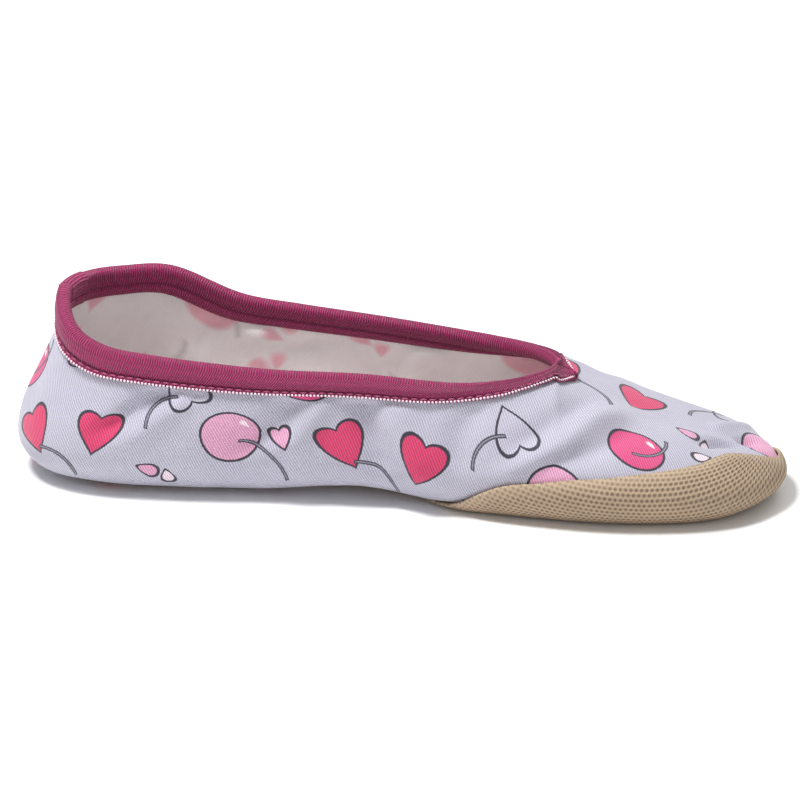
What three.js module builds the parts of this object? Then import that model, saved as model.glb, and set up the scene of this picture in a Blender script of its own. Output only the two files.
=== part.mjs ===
import * as THREE from 'three';
import { mergeVertices } from 'three/addons/utils/BufferGeometryUtils.js';

// A child's gymnastics slipper standing empty on its sole, in millimetres.
// X runs along the shoe with the toe at +X, Y across it, Z up from the floor.

// Driving dimensions
const shoeLength = 196;
const ballWidth = 62;
const heelWidth = 48;
const collarWidth = 41;
const instepHeight = 33;
const heelHeight = 48.5;
const toeHeight = 11;
const heelLean = 12.5;
const throatPlace = 138;
const bendRadius = 8;
const archHeight = 2;
const archBack = 0.32;
const archFront = 0.58;
const toeSpring = 1.6;
const springStart = 0.87;
const springLength = 0.1;
const heelSpringLength = 0.07;
const soleThickness = 1.6;
const soleEdgeThickness = 1;
const soleTaper = 0.15; // over how many levels the sole thins out, see lastPoint
const soleHollow = 0.06;
const hollowHalfWidth = 23;
const upperWall = 1;
const insoleThickness = 1.2;
const insoleReach = 0.94;
const tapeThickness = 0.8;
const tapeLeg = 6.5;
const tapeTip = 4.5;
const tapeTaper = 1.6;
const tapeBluntness = 0.75;
const throatRadius = 9;
const clearance = 0.3;

// The middle line underneath, as shares of the length. The foot's sections fan out from it.
const middleBack = 0.12;
const middleFront = 0.86;

// How closely the sections crowd towards the throat, and how suddenly the collar turns level there
const throatCrowding = 0.24;
const throatBlend = 8;

// How finely the surfaces are divided
const columnsPerSide = 42;
const throatColumn = 15;
const bottomRows = 4;
const turnRows = 4;
const wallRows = 6;
const insoleRows = 2;
const tapeLegRows = 3;
const tipColumns = 4;
const soleTopRows = 5;

// Values that follow from the sizes
const heelEnd = -shoeLength / 2;
const upperLength = shoeLength - clearance - soleThickness;
const upperFloor = soleThickness + clearance;
const collarBack = heelEnd + heelLean;
const collarFront = heelEnd + throatPlace;
const ridgeFront = heelEnd + upperLength - toeHeight / 3;
const throatTurn = throatColumn / columnsPerSide;
const tapeRise = clearance + tapeThickness;

// The last, a row for each section from the heel (at 0) to the toe (at 1).
// byHeel and byBall: half width as shares of half the heel width and half the ball width.
// widest: height of the widest line as a share of the instep. bend: share of the bend radius.
const lastSections = [
  { at: 0, byHeel: 0, byBall: 0, widest: 0.24, bend: 1.15 },
  { at: 0.03, byHeel: 0.6, byBall: 0, widest: 0.27, bend: 1.15 },
  { at: 0.1, byHeel: 0.93, byBall: 0, widest: 0.34, bend: 1.1 },
  { at: 0.2, byHeel: 1, byBall: 0, widest: 0.38, bend: 1 },
  { at: 0.43, byHeel: 0.6, byBall: 0.27, widest: 0.38, bend: 1 },
  { at: 0.6, byHeel: 0, byBall: 0.88, widest: 0.34, bend: 1 },
  { at: 0.76, byHeel: 0, byBall: 1, widest: 0.28, bend: 1 },
  { at: 0.87, byHeel: 0, byBall: 0.93, widest: 0.23, bend: 0.9 },
  { at: 0.94, byHeel: 0, byBall: 0.74, widest: 0.18, bend: 0.8 },
  { at: 0.98, byHeel: 0, byBall: 0.44, widest: 0.15, bend: 0.75 },
  { at: 1, byHeel: 0, byBall: 0, widest: 0.14, bend: 0.75 },
];

// The ridge of the vamp, from the toe (at 0) back to the throat (at 1).
// byToe and byInstep: height as shares of the toe and the instep height.
// tent: how far the fabric is drawn straight from side to ridge.
const vampRidge = [
  { at: 0, byToe: 0.86, byInstep: 0, tent: 0 },
  { at: 0.1, byToe: 1.09, byInstep: 0, tent: 0 },
  { at: 0.25, byToe: 0.95, byInstep: 0.145, tent: 0.05 },
  { at: 0.42, byToe: 0.55, byInstep: 0.37, tent: 0.1 },
  { at: 0.6, byToe: 0.27, byInstep: 0.565, tent: 0.15 },
  { at: 0.8, byToe: 0, byInstep: 0.81, tent: 0.2 },
  { at: 1, byToe: 0, byInstep: 1, tent: 0.2 },
];

// The finished collar, from the back of the heel (at 0) to the throat (at 1).
// half: share of half the collar width. The rest are heights: nearHeel and farHeel are shares
// of the heel height and nearInstep and farInstep of the instep height, added together.
const collarSections = [
  { at: 0, half: 0, nearHeel: 1, nearInstep: 0, farHeel: 1, farInstep: 0 },
  { at: 0.03, half: 0.6, nearHeel: 0.88, nearInstep: 0, farHeel: 0.99, farInstep: 0 },
  { at: 0.1, half: 0.83, nearHeel: 0.8, nearInstep: 0, farHeel: 0.995, farInstep: 0 },
  { at: 0.2, half: 0.96, nearHeel: 0.775, nearInstep: 0, farHeel: 0.985, farInstep: 0 },
  { at: 0.34, half: 1, nearHeel: 0.5, nearInstep: 0.36, farHeel: 0.565, farInstep: 0.4 },
  { at: 0.46, half: 1, nearHeel: 0.25, nearInstep: 0.7, farHeel: 0.3, farInstep: 0.72 },
  { at: 0.62, half: 0.99, nearHeel: 0, nearInstep: 1.06, farHeel: 0, farInstep: 1.09 },
  { at: 0.8, half: 0.96, nearHeel: 0, nearInstep: 1.015, farHeel: 0, farInstep: 1 },
  { at: 0.92, half: 0.72, nearHeel: 0, nearInstep: 1.01, farHeel: 0, farInstep: 0.975 },
  { at: 1, half: 0, nearHeel: 0, nearInstep: 1, farHeel: 0, farInstep: 1 },
];

// How the wall meets the collar, from the back of the heel (at 0) to the throat (at 1).
// closing: how far the wall has turned over at the collar, in degrees. upright: 1 keeps the
// fabric just under the collar upright, 0 lets it follow the arch of the section.
const collarTurns = [
  { at: 0, closing: 50, upright: 1 },
  { at: 0.03, closing: 50, upright: 1 },
  { at: 0.1, closing: 50, upright: 0.9 },
  { at: 0.2, closing: 50, upright: 0.8 },
  { at: 0.34, closing: 50, upright: 0.7 },
  { at: 0.46, closing: 50, upright: 0.6 },
  { at: 0.62, closing: 54, upright: 0.5 },
  { at: 0.8, closing: 62, upright: 0.3 },
  { at: 0.92, closing: 76, upright: 0.1 },
  { at: 1, closing: 90, upright: 0 },
];

// Edges in the bottom and side of the last, from the heel (at 0) to the toe (at 1).
// 0 is the middle line, 1 the edge of the floor, 2 the widest line and 3 the ridge or collar.
// nearSole and farSole: where the rubber ends on either side, wrapped up higher on the near one.
// margin: how far the upper is turned in under the foot.
const edgeSections = [
  { at: 0, nearSole: 0.9, farSole: 0.9, margin: 0.5 },
  { at: 0.1, nearSole: 0.9, farSole: 0.9, margin: 0.48 },
  { at: 0.27, nearSole: 0.8, farSole: 0.8, margin: 0.42 },
  { at: 0.42, nearSole: 0.64, farSole: 0.64, margin: 0.32 },
  { at: 0.5, nearSole: 0.76, farSole: 0.76, margin: 0.4 },
  { at: 0.54, nearSole: 0.96, farSole: 0.96, margin: 0.5 },
  { at: 0.58, nearSole: 1.32, farSole: 1.32, margin: 0.58 },
  { at: 0.62, nearSole: 1.7, farSole: 1.7, margin: 0.64 },
  { at: 0.66, nearSole: 1.92, farSole: 1.92, margin: 0.7 },
  { at: 0.73, nearSole: 2.06, farSole: 2.06, margin: 0.72 },
  { at: 0.8, nearSole: 2.16, farSole: 2.08, margin: 0.72 },
  { at: 0.9, nearSole: 2.43, farSole: 2.03, margin: 0.72 },
  { at: 0.945, nearSole: 2.66, farSole: 1.96, margin: 0.7 },
  { at: 0.98, nearSole: 2.73, farSole: 2, margin: 0.66 },
  { at: 0.994, nearSole: 2.68, farSole: 2.3, margin: 0.66 },
  { at: 1, nearSole: 2.58, farSole: 2.58, margin: 0.66 },
];

// Turns a share of a length into the angle of a half round, so that rounded ends come out round
function roundAngle(share) {
  return Math.acos(THREE.MathUtils.clamp(1 - 2 * share, -1, 1));
}

// A smooth curve through one column of a table
function column(rows, name) {
  const angles = rows.map((row) => roundAngle(row.at));
  const values = rows.map((row) => row[name]);
  const slopes = values.map((value, i) => {
    const before = Math.max(i - 1, 0);
    const after = Math.min(i + 1, rows.length - 1);
    return (values[after] - values[before]) / (angles[after] - angles[before]);
  });
  return (share) => {
    const angle = roundAngle(share);
    let i = 0;
    while (i < rows.length - 2 && angle > angles[i + 1]) i += 1;
    const step = angles[i + 1] - angles[i];
    const t = (angle - angles[i]) / step;
    const start = (1 + 2 * t) * (1 - t) * (1 - t) * values[i] + t * t * (3 - 2 * t) * values[i + 1];
    return start + step * t * (1 - t) * ((1 - t) * slopes[i] - t * slopes[i + 1]);
  };
}

const last = {
  byHeel: column(lastSections, 'byHeel'),
  byBall: column(lastSections, 'byBall'),
  widest: column(lastSections, 'widest'),
  bend: column(lastSections, 'bend'),
};
const ridge = {
  byToe: column(vampRidge, 'byToe'),
  byInstep: column(vampRidge, 'byInstep'),
  tent: column(vampRidge, 'tent'),
};
const collar = {
  half: column(collarSections, 'half'),
  nearHeel: column(collarSections, 'nearHeel'),
  nearInstep: column(collarSections, 'nearInstep'),
  farHeel: column(collarSections, 'farHeel'),
  farInstep: column(collarSections, 'farInstep'),
  closing: column(collarTurns, 'closing'),
  upright: column(collarTurns, 'upright'),
};
const edges = {
  nearSole: column(edgeSections, 'nearSole'),
  farSole: column(edgeSections, 'farSole'),
  margin: column(edgeSections, 'margin'),
};

// A place round the shoe is a number from -1 at the heel, along the near side (-Y), through
// 0 at the toe and back along the far side to 1 at the heel.
function sideOf(place) {
  return place < 0 ? -1 : 1;
}

function alongOf(place) {
  return (1 + Math.cos(Math.PI * place)) / 2;
}

// The widest outline of the foot, seen from above
function outline(place) {
  const at = alongOf(place);
  const half = (last.byHeel(at) * heelWidth + last.byBall(at) * ballWidth) / 2;
  return new THREE.Vector2(heelEnd + upperLength * at, sideOf(place) * half);
}

function outlineNormal(place) {
  const step = 0.002;
  const wrap = (value) => (value > 1 ? value - 2 : value < -1 ? value + 2 : value);
  const before = outline(wrap(place - step));
  const along = outline(wrap(place + step)).sub(before).normalize();
  return new THREE.Vector2(along.y, -along.x);
}

// The underside: nearly flat under heel and ball, the middle hollowed so that the shoe stands on
// the outer parts, with an arch between and a spring at the toe
function bottomHeight(x, y) {
  const share = (x - heelEnd) / shoeLength;
  const arch = THREE.MathUtils.clamp((share - archBack) / (archFront - archBack), 0, 1);
  const toe = Math.max((share - springStart) / springLength, 0);
  const heel = Math.max(1 - share / heelSpringLength, 0);
  const hollow = soleHollow * (1 - Math.min(Math.abs(y) / hollowHalfWidth, 1) ** 2);
  return archHeight * Math.sin(Math.PI * arch) ** 2 + toeSpring * (toe ** 2 + heel ** 2 / 2) + hollow;
}

function widestPoint(place, offset) {
  const flat = outline(place).addScaledVector(outlineNormal(place), offset);
  return new THREE.Vector3(flat.x, flat.y, upperFloor + last.widest(alongOf(place)) * instepHeight);
}

function floorPoint(place, offset) {
  const inset = bendRadius * last.bend(alongOf(place));
  const flat = outline(place).addScaledVector(outlineNormal(place), -inset);
  return new THREE.Vector3(flat.x, flat.y, upperFloor + bottomHeight(flat.x, flat.y) - offset);
}

function middlePoint(place, offset) {
  const x = heelEnd + upperLength * THREE.MathUtils.lerp(middleBack, middleFront, alongOf(place));
  return new THREE.Vector3(x, 0, upperFloor + bottomHeight(x, 0) - offset);
}

// Where a place round the shoe lies along the ridge of the vamp or along the collar. Both
// shares are 1 at the throat, where the places lie closer together.
function onVamp(place) {
  return Math.abs(place) <= throatTurn;
}

function closerAtThroat(share) {
  const away = 1 - THREE.MathUtils.clamp(share, 0, 1);
  return 1 - away * away * (1 + throatCrowding) / (away + throatCrowding);
}

function vampShare(place) {
  return closerAtThroat((1 - alongOf(place)) / (1 - alongOf(throatTurn)));
}

function collarShare(place) {
  return closerAtThroat(alongOf(place) / alongOf(throatTurn));
}

// How far the collar has turned level: 0 along the sides and 1 at the throat
function levelling(place) {
  return collarShare(place) ** throatBlend;
}

function ridgePoint(place) {
  const share = vampShare(place);
  const x = THREE.MathUtils.lerp(ridgeFront, collarFront, share);
  const height = ridge.byToe(share) * toeHeight + ridge.byInstep(share) * (instepHeight - tapeRise);
  return new THREE.Vector3(x, 0, height);
}

function collarPoint(place) {
  const share = collarShare(place);
  const side = sideOf(place);
  const byHeel = side < 0 ? collar.nearHeel(share) : collar.farHeel(share);
  const byInstep = side < 0 ? collar.nearInstep(share) : collar.farInstep(share);
  const x = THREE.MathUtils.lerp(collarBack, collarFront, share);
  const y = side * collar.half(share) * collarWidth / 2;
  return new THREE.Vector3(x, y, byHeel * heelHeight + byInstep * instepHeight - tapeRise);
}

// The curve of the wall from the widest line (t = 0) to its top (t = 1): how far it has come
// across and up, both as shares
function wallCurve(place, t) {
  const closing = THREE.MathUtils.degToRad(onVamp(place) ? 90 : collar.closing(collarShare(place)));
  const upright = onVamp(place) ? 0 : collar.upright(collarShare(place));
  const tent = onVamp(place) ? ridge.tent(vampShare(place)) : ridge.tent(1) * levelling(place);
  const arcAcross = (1 - Math.cos(closing * t)) / (1 - Math.cos(closing));
  const arcUp = Math.sin(closing * t) / Math.sin(closing);
  const across = THREE.MathUtils.lerp(arcAcross, t * t * (3 - 2 * t), upright);
  const up = THREE.MathUtils.lerp(arcUp, t, upright);
  return {
    across: THREE.MathUtils.lerp(across, t, tent),
    up: THREE.MathUtils.lerp(up, t, tent * (1 - t)),
  };
}

// The next place along the collar, which crosses from side to side at the throat and the heel
function collarNeighbour(place, step) {
  const next = place + step;
  if (Math.abs(next) < throatTurn) return -Math.sign(place) * (2 * throatTurn - Math.abs(next));
  if (Math.abs(next) > 1) return next - 2 * Math.sign(next);
  return next;
}

function alongCollar(place) {
  const step = 0.006;
  const before = collarPoint(collarNeighbour(place, -step));
  return collarPoint(collarNeighbour(place, step)).sub(before).normalize();
}

// The outward direction at the top of the wall
function topNormal(place) {
  const up = new THREE.Vector3(0, 0, 1);
  if (onVamp(place)) return up;
  const step = 0.02;
  const base = widestPoint(place, 0);
  const top = collarPoint(place);
  const share = wallCurve(place, 1 - step);
  const rise = new THREE.Vector3(
    (top.x - base.x) * (1 - share.across),
    (top.y - base.y) * (1 - share.across),
    (top.z - base.z) * (1 - share.up),
  ).normalize();
  return alongCollar(place).cross(rise).lerp(up, levelling(place)).normalize();
}

function topPoint(place, offset) {
  const top = onVamp(place) ? ridgePoint(place) : collarPoint(place);
  return top.addScaledVector(topNormal(place), offset);
}

// A point of the last, moved outwards by an offset. level is 0 on the middle line underneath,
// 1 at the edge of the floor, 2 on the widest line and 3 on the ridge or the collar.
function lastPoint(place, level, offset) {
  if (level <= 1) {
    const point = middlePoint(place, 0).lerp(floorPoint(place, 0), Math.max(level, 0));
    point.z = upperFloor + bottomHeight(point.x, point.y) - offset;
    return point;
  }
  const widest = widestPoint(place, offset);
  if (level <= 2) {
    const edge = floorPoint(place, offset);
    const turn = (level - 1) * Math.PI / 2;
    const across = Math.sin(turn);
    const up = 1 - Math.cos(turn);
    return new THREE.Vector3(
      THREE.MathUtils.lerp(edge.x, widest.x, across),
      THREE.MathUtils.lerp(edge.y, widest.y, across),
      THREE.MathUtils.lerp(edge.z, widest.z, up),
    );
  }
  const top = topPoint(place, offset);
  const share = wallCurve(place, Math.min(level - 2, 1));
  return new THREE.Vector3(
    THREE.MathUtils.lerp(widest.x, top.x, share.across),
    THREE.MathUtils.lerp(widest.y, top.y, share.across),
    THREE.MathUtils.lerp(widest.z, top.z, share.up),
  );
}

// Places all the way round, from the heel along the near side to the toe and back. The tape's
// round tip ahead of the throat has places of its own, which every piece shares.
function placesRound() {
  const even = steps(0, 1, columnsPerSide);
  const tip = placeAheadOfThroat(tapeTip);
  const apart = 0.3 / columnsPerSide;
  const vamp = even.filter((place) => place < tip - apart);
  const beside = even.filter((place) => place > throatTurn + apart);
  const side = [...vamp, ...steps(tip, throatTurn, tipColumns), ...beside];
  return [...side.slice(1).reverse().map((place) => -place), ...side];
}

function steps(from, to, count) {
  return Array.from({ length: count + 1 }, (_, i) => from + (to - from) * i / count);
}

// Collects triangles and gives them back as one closed surface
class Skin {
  constructor() {
    this.positions = [];
  }

  triangle(a, b, c) {
    const same = (p, q) => p.distanceToSquared(q) < 1e-8;
    if (same(a, b) || same(b, c) || same(c, a)) return;
    for (const point of [a, b, c]) {
      this.positions.push(...point.toArray().map((value) => Math.round(value * 1e4) / 1e4));
    }
  }

  quad(a, b, c, d) {
    this.triangle(a, b, c);
    this.triangle(a, c, d);
  }

  geometry() {
    const geometry = new THREE.BufferGeometry();
    geometry.setAttribute('position', new THREE.Float32BufferAttribute(this.positions, 3));
    return mergeVertices(geometry, 1e-4);
  }
}

// Adds a sheet of the last between two offsets to a skin. outer and inner give a point for a
// place and a row. The sheet meets itself in the middle wherever joined says so, and has an
// edge elsewhere.
function addSheet(skin, places, rowCount, outer, inner, joinedBelow, joinedAbove) {
  for (let i = 0; i < places.length - 1; i += 1) {
    const [here, next] = [places[i], places[i + 1]];
    for (let row = 0; row < rowCount; row += 1) {
      skin.quad(outer(here, row), outer(next, row), outer(next, row + 1), outer(here, row + 1));
      skin.quad(inner(here, row), inner(here, row + 1), inner(next, row + 1), inner(next, row));
    }
    if (!joinedBelow(here, next)) {
      skin.quad(outer(here, 0), inner(here, 0), inner(next, 0), outer(next, 0));
    }
    if (!joinedAbove(here, next)) {
      skin.quad(outer(here, rowCount), outer(next, rowCount), inner(next, rowCount), inner(here, rowCount));
    }
  }
}

function sheet(places, rowCount, outer, inner, joinedBelow, joinedAbove) {
  const skin = new Skin();
  addSheet(skin, places, rowCount, outer, inner, joinedBelow, joinedAbove);
  return skin.geometry();
}

const always = () => true;
const never = () => false;
const bothOnVamp = (here, next) => onVamp(here) && onVamp(next);

// The fabric upper: a thin hollow shell, open at the collar and underneath. Its rows of faces
// follow the lower edge of the tape, so that both lie evenly on each other.
function upperGeometry() {
  const lower = [...steps(0, 1, 2), ...steps(1, 2, turnRows).slice(1)];
  const level = (place, row) => {
    if (row < 3) return THREE.MathUtils.lerp(edges.margin(alongOf(place)), 1, lower[row]);
    if (row < lower.length) return lower[row];
    const wallRow = row - lower.length + 1;
    if (wallRow <= wallRows) return THREE.MathUtils.lerp(2, tapeLevel(place), wallRow / wallRows);
    return THREE.MathUtils.lerp(tapeLevel(place), 3, (wallRow - wallRows) / tapeLegRows);
  };
  const rows = lower.length - 1 + wallRows + tapeLegRows;
  const outer = (place, row) => lastPoint(place, level(place, row), 0);
  const inner = (place, row) => lastPoint(place, level(place, row), -upperWall);
  return sheet(placesRound(), rows, outer, inner, never, bothOnVamp);
}

function soleEdge(place) {
  return place < 0 ? edges.nearSole(alongOf(place)) : edges.farSole(alongOf(place));
}

// The rubber sole: flat underneath, wrapped up round the forefoot and the toe
function outsoleGeometry() {
  const highest = Math.max(...edgeSections.map((row) => row.nearSole));
  const bottom = steps(0, 1, bottomRows);
  const side = steps(1, 2, turnRows).slice(1);
  const top = steps(2, highest, soleTopRows).slice(1);
  const levels = [...bottom, ...side, ...top];
  const level = (place, row) => Math.min(levels[row], soleEdge(place));
  const thickness = (place, row) => {
    const left = (soleEdge(place) - levels[row]) / soleTaper;
    return THREE.MathUtils.lerp(soleEdgeThickness, soleThickness, THREE.MathUtils.clamp(left, 0, 1));
  };
  const outer = (place, row) => lastPoint(place, level(place, row), clearance + thickness(place, row));
  const inner = (place, row) => lastPoint(place, level(place, row), clearance);
  return sheet(placesRound(), levels.length - 1, outer, inner, always, never);
}

// The insole, a flat board inside the upper
function insoleGeometry() {
  const underside = -(upperWall + clearance);
  const level = (row) => insoleReach * row / insoleRows;
  const outer = (place, row) => lastPoint(place, level(row), underside);
  const inner = (place, row) => lastPoint(place, level(row), underside - insoleThickness);
  return sheet(placesRound(), insoleRows, outer, inner, always, never);
}

// The level on the wall that lies a given way down from its top
function levelBelowTop(place, way) {
  const count = 60;
  let level = 3;
  let point = lastPoint(place, level, 0);
  let left = way;
  while (left > 0 && level > 2) {
    const lower = lastPoint(place, level - 1 / count, 0);
    const stretch = point.distanceTo(lower);
    if (stretch >= left) return level - left / stretch / count;
    left -= stretch;
    level -= 1 / count;
    point = lower;
  }
  return level;
}

// How far down the wall the tape reaches. Before the throat its lower edge runs to a blunt point.
function tapeReach(place) {
  const ahead = onVamp(place) ? ridgePoint(place).x - collarFront : collarPoint(place).x - collarFront;
  const fromCentre = Math.max(throatRadius + ahead, 0);
  const left = Math.max(1 - (fromCentre / (throatRadius + tapeTip)) ** tapeTaper, 0);
  const wide = (throatRadius + tapeLeg) * left ** tapeBluntness;
  return wide - Math.sqrt(Math.max(throatRadius ** 2 - fromCentre ** 2, 0));
}

const tapeLevels = new Map();

// The level of the tape's lower edge
function tapeLevel(place) {
  if (!tapeLevels.has(place)) tapeLevels.set(place, levelBelowTop(place, tapeReach(place)));
  return tapeLevels.get(place);
}

// The place on the vamp where the ridge has come a given way ahead of the throat
function placeAheadOfThroat(way) {
  let [low, high] = [0, throatTurn];
  for (let i = 0; i < 40; i += 1) {
    const middle = (low + high) / 2;
    if (ridgePoint(middle).x - collarFront > way) low = middle;
    else high = middle;
  }
  return high;
}

// The elastic tape, folded over the raw edge of the collar. Its section runs up the outside,
// over the edge and down the inside. Before the throat its two legs go on as round tips.
function bindingGeometry() {
  const skin = new Skin();
  const levelOf = (place, row) => THREE.MathUtils.lerp(tapeLevel(place), 3, row / tapeLegRows);
  const leg = (offset) => (place, row) => lastPoint(place, levelOf(place, row), offset);

  // The fold, in steps out from the outer face of the fabric and up from its edge
  const outerFold = [
    [tapeRise, clearance * 0.6], [tapeRise * 0.6, tapeRise * 0.85], [-upperWall / 2, tapeRise],
    [-upperWall - tapeRise * 0.6, tapeRise * 0.85], [-upperWall - tapeRise, clearance * 0.6],
  ];
  const innerFold = [
    [clearance, clearance * 0.6], [clearance, clearance], [-upperWall / 2, clearance],
    [-upperWall - clearance, clearance], [-upperWall - clearance, clearance * 0.6],
  ];
  const foldPoint = (place, [out, up]) => {
    const normal = topNormal(place);
    const along = alongCollar(place);
    const beyond = new THREE.Vector3().crossVectors(normal, along).normalize();
    return topPoint(place, out).addScaledVector(beyond, up);
  };
  const overTheEdge = (outside, fold, inside) => (place, row) => {
    if (row <= tapeLegRows) return outside(place, row);
    if (row <= tapeLegRows + fold.length) return foldPoint(place, fold[row - tapeLegRows - 1]);
    return inside(place, 2 * tapeLegRows + fold.length + 1 - row);
  };
  const rows = 2 * tapeLegRows + outerFold.length + 1;
  const outer = overTheEdge(leg(tapeRise), outerFold, leg(-upperWall - tapeRise));
  const inner = overTheEdge(leg(clearance), innerFold, leg(-upperWall - clearance));
  const nearSide = placesRound().filter((place) => place <= -throatTurn + 1e-9);
  const farSide = placesRound().filter((place) => place >= throatTurn - 1e-9);
  addSheet(skin, nearSide, rows, outer, inner, never, never);
  addSheet(skin, farSide, rows, outer, inner, never, never);

  const farTip = steps(placeAheadOfThroat(tapeTip), throatTurn, tipColumns);
  const nearTip = farTip.map((place) => -place).reverse();
  for (const places of [nearTip, farTip]) {
    const outside = [leg(tapeRise), leg(clearance)];
    const inside = [leg(-upperWall - clearance), leg(-upperWall - tapeRise)];
    addSheet(skin, places, tapeLegRows, ...outside, never, always);
    addSheet(skin, places, tapeLegRows, ...inside, never, always);
  }
  return skin.geometry();
}

function rubber() {
  return new THREE.MeshStandardMaterial({ color: 0xa9906f, roughness: 0.85, metalness: 0 });
}

function printedKnit() {
  return new THREE.MeshStandardMaterial({ color: 0xc0bccd, roughness: 0.9, metalness: 0 });
}

function elasticTape() {
  return new THREE.MeshStandardMaterial({ color: 0xa5416e, roughness: 0.7, metalness: 0 });
}

function insoleCloth() {
  return new THREE.MeshStandardMaterial({ color: 0xd9cfc6, roughness: 0.95, metalness: 0 });
}

function piece(name, geometry, material) {
  const mesh = new THREE.Mesh(geometry, material);
  mesh.name = name;
  return mesh;
}

const shoe = new THREE.Group();
shoe.add(piece('outsole', outsoleGeometry(), rubber()));
shoe.add(piece('upper', upperGeometry(), printedKnit()));
shoe.add(piece('insole', insoleGeometry(), insoleCloth()));
shoe.add(piece('collar_binding', bindingGeometry(), elasticTape()));

export default shoe;
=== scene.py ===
import math
from functools import lru_cache

import bpy
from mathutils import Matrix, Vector, noise


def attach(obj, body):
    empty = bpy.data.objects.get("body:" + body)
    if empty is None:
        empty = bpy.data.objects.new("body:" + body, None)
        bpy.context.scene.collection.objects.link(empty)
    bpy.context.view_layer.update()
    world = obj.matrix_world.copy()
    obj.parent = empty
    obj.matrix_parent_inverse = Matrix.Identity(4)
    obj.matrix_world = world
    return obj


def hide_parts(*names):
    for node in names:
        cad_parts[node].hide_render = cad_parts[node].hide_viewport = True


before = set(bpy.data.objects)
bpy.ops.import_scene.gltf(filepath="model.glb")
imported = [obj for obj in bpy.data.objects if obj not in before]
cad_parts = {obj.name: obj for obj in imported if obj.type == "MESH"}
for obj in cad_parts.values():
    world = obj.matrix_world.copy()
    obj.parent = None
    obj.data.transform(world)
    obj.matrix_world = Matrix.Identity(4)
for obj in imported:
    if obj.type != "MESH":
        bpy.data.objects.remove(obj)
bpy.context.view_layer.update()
print("frame loaded")

mm = 0.001

# The camera stands at the photo's angle: a little above the shoe and slightly towards its toe
camera = {
    "azimuth": 6,
    "elevation": 21,
    "distance": 1150,
    "lens": 205,
    "aim": (0, 0, 21),
}


def addCamera():
    turn, rise = math.radians(camera["azimuth"]), math.radians(camera["elevation"])
    away = Vector((math.sin(turn) * math.cos(rise), -math.cos(turn) * math.cos(rise), math.sin(rise)))
    aim = Vector(camera["aim"]) * mm
    bpy.ops.object.camera_add(location=aim + away * camera["distance"] * mm)
    eye = bpy.context.object
    eye.rotation_euler = (-away).to_track_quat("-Z", "Y").to_euler()
    eye.data.lens = camera["lens"]
    bpy.context.scene.camera = eye


addCamera()

# The shoe's own sizes in mm, the same as those of the solids
shoe = {
    "length": 196,
    "ballWidth": 62,
    "heelWidth": 48,
    "collarWidth": 41,
    "instepHeight": 33,
    "heelHeight": 48.5,
    "toeHeight": 11,
    "heelLean": 12.5,
    "throatPlace": 138,
    "bendRadius": 8,
    "archHeight": 2,
    "archBack": 0.32,
    "archFront": 0.58,
    "toeSpring": 1.6,
    "springStart": 0.87,
    "springLength": 0.1,
    "heelSpringLength": 0.07,
    "sole": 1.6,
    "soleEdge": 1,
    "soleHollow": 0.06,
    "hollowHalfWidth": 23,
    "wall": 1,
    "insole": 1.2,
    "tape": 0.8,
    "tapeLeg": 6.5,
    "tapeTip": 4.5,
    "tapeTaper": 1.6,
    "tapeBluntness": 0.75,
    "throatRadius": 9,
    "clearance": 0.3,
    "middleBack": 0.12,
    "middleFront": 0.86,
    "throatCrowding": 0.24,
    "throatBlend": 8,
}
heelEnd = -shoe["length"] / 2
upperLength = shoe["length"] - shoe["clearance"] - shoe["sole"]
upperFloor = shoe["sole"] + shoe["clearance"]
collarBack = heelEnd + shoe["heelLean"]
collarFront = heelEnd + shoe["throatPlace"]
ridgeFront = heelEnd + upperLength - shoe["toeHeight"] / 3
throatTurn = 15 / 42
tapeRise = shoe["clearance"] + shoe["tape"]

# The last from heel (0) to toe (1): half width by heel and by ball, widest line, bend
lastRows = [
    (0, 0, 0, 0.24, 1.15),
    (0.03, 0.6, 0, 0.27, 1.15),
    (0.1, 0.93, 0, 0.34, 1.1),
    (0.2, 1, 0, 0.38, 1),
    (0.43, 0.6, 0.27, 0.38, 1),
    (0.6, 0, 0.88, 0.34, 1),
    (0.76, 0, 1, 0.28, 1),
    (0.87, 0, 0.93, 0.23, 0.9),
    (0.94, 0, 0.74, 0.18, 0.8),
    (0.98, 0, 0.44, 0.15, 0.75),
    (1, 0, 0, 0.14, 0.75),
]

# The ridge of the vamp from toe (0) to throat (1): height by toe and by instep, tent
ridgeRows = [
    (0, 0.86, 0, 0),
    (0.1, 1.09, 0, 0),
    (0.25, 0.95, 0.145, 0.05),
    (0.42, 0.55, 0.37, 0.1),
    (0.6, 0.27, 0.565, 0.15),
    (0.8, 0, 0.81, 0.2),
    (1, 0, 1, 0.2),
]

# The collar from heel (0) to throat (1): half width, near and far heights by heel and by
# instep, how far the wall has turned over and how upright it stays
collarRows = [
    (0, 0, 1, 0, 1, 0, 50, 1),
    (0.03, 0.6, 0.88, 0, 0.99, 0, 50, 1),
    (0.1, 0.83, 0.8, 0, 0.995, 0, 50, 0.9),
    (0.2, 0.96, 0.775, 0, 0.985, 0, 50, 0.8),
    (0.34, 1, 0.5, 0.36, 0.565, 0.4, 50, 0.7),
    (0.46, 1, 0.25, 0.7, 0.3, 0.72, 50, 0.6),
    (0.62, 0.99, 0, 1.06, 0, 1.09, 54, 0.5),
    (0.8, 0.96, 0, 1.015, 0, 1, 62, 0.3),
    (0.92, 0.72, 0, 1.01, 0, 0.975, 76, 0.1),
    (1, 0, 0, 1, 0, 1, 90, 0),
]

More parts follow.
